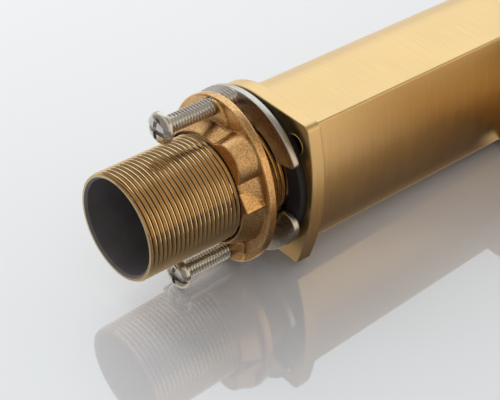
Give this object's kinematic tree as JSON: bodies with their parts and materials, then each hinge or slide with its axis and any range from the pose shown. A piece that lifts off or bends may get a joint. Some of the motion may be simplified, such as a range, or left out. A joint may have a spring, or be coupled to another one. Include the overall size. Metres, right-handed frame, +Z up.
{
  "type": "basin mixer tap",
  "caption": "Single-lever basin mixer tap in brushed gold: rounded column, flat spout and lever, hollow threaded shank with oval fixing nut and jack screws.",
  "frame": {"origin": "on the axis of the threaded shank, in the plane of the seal's lower face, where the tap meets the deck", "axes": "+Z up along the shank's axis and the column, +Y towards the user along the spout, +X to the side with the crisp arris"},
  "size_m": [0.0552, 0.1452, 0.2117],
  "materials": {
    "brushed_gold": "brushed, gold-coloured coating",
    "turned_brass": "machined, bare",
    "cast_brass": "sand-cast, blasted",
    "stainless_steel": "polished",
    "zinc_steel": "stamped, zinc plated",
    "black_rubber": "moulded, satin",
    "cartridge_plastic": "moulded",
    "carrier_plastic": "moulded",
    "ceramic": "lapped"
  },
  "bodies": {
    "tap": {"column_body": "brushed_gold", "spout": "brushed_gold", "base_flange": "brushed_gold", "base_seal": "black_rubber", "threaded_shank": "turned_brass", "cartridge_base": "cartridge_plastic", "port_seals": "black_rubber", "disc_seals": "black_rubber", "fixed_ceramic_disc": "ceramic", "cartridge_housing": "cartridge_plastic", "retaining_nut": "turned_brass", "dome_cap": "brushed_gold", "aerator_seal": "black_rubber"},
    "washer": {"c_washer": "zinc_steel"},
    "nut": {"fixing_nut": "cast_brass"},
    "right_screw": {"jack_screw_right": "stainless_steel"},
    "left_screw": {"jack_screw_left": "stainless_steel"},
    "carrier": {"stem_carrier": "carrier_plastic", "stem_pin": "stainless_steel"},
    "lever": {"lever_handle": "brushed_gold", "cartridge_stem": "turned_brass", "lever_grub_screw": "stainless_steel", "grub_plug": "brushed_gold"},
    "disc": {"moving_ceramic_disc": "ceramic", "disc_driver": "carrier_plastic"},
    "aerator_core": {"aerator_insert": "cartridge_plastic", "aerator_screen": "stainless_steel"},
    "aerator_ring": {"aerator_housing": "brushed_gold"}
  },
  "joints": [
    {"name": "washer_travel", "type": "slide", "parent": "tap", "child": "washer", "axis": [0, 0, -1], "range_m": [0, 0.01501]},
    {"name": "nut_turn", "type": "hinge", "parent": "washer", "child": "nut", "pos_m": [0, 0, -0.012], "axis": [0, 0, -1], "range_deg": [0, 3600]},
    {"name": "right_screw_travel", "type": "slide", "parent": "nut", "child": "right_screw", "axis": [0, 0, -1], "range_m": [0, 0.009]},
    {"name": "left_screw_travel", "type": "slide", "parent": "nut", "child": "left_screw", "axis": [0, 0, -1], "range_m": [0, 0.009]},
    {"name": "lever_turn", "type": "hinge", "parent": "tap", "child": "carrier", "pos_m": [0, 0.0004, 0.141], "axis": [0, 0, 1], "range_deg": [-50, 50]},
    {"name": "lever_tilt", "type": "hinge", "parent": "carrier", "child": "lever", "pos_m": [0, 0.0004, 0.141], "axis": [1, 0, 0], "range_deg": [0, 25]},
    {"name": "disc_slide", "type": "slide", "parent": "carrier", "child": "disc", "axis": [0, 1, 0], "range_m": [0, 0.006]},
    {"name": "aerator_drop", "type": "slide", "parent": "tap", "child": "aerator_core", "axis": [0, 0, -1], "range_m": [0, 0.00401]},
    {"name": "aerator_turn", "type": "hinge", "parent": "aerator_core", "child": "aerator_ring", "pos_m": [0, 0.104, 0.098], "axis": [0, 0, -1], "range_deg": [0, 1440]}
  ],
  "couplings": [
    {"joint": "washer_travel", "follows": "nut_turn", "m_per_rad": 0.00023873},
    {"joint": "disc_slide", "follows": "lever_tilt", "m_per_rad": 0.01356},
    {"joint": "aerator_drop", "follows": "aerator_turn", "m_per_rad": 0.00015915}
  ]
}
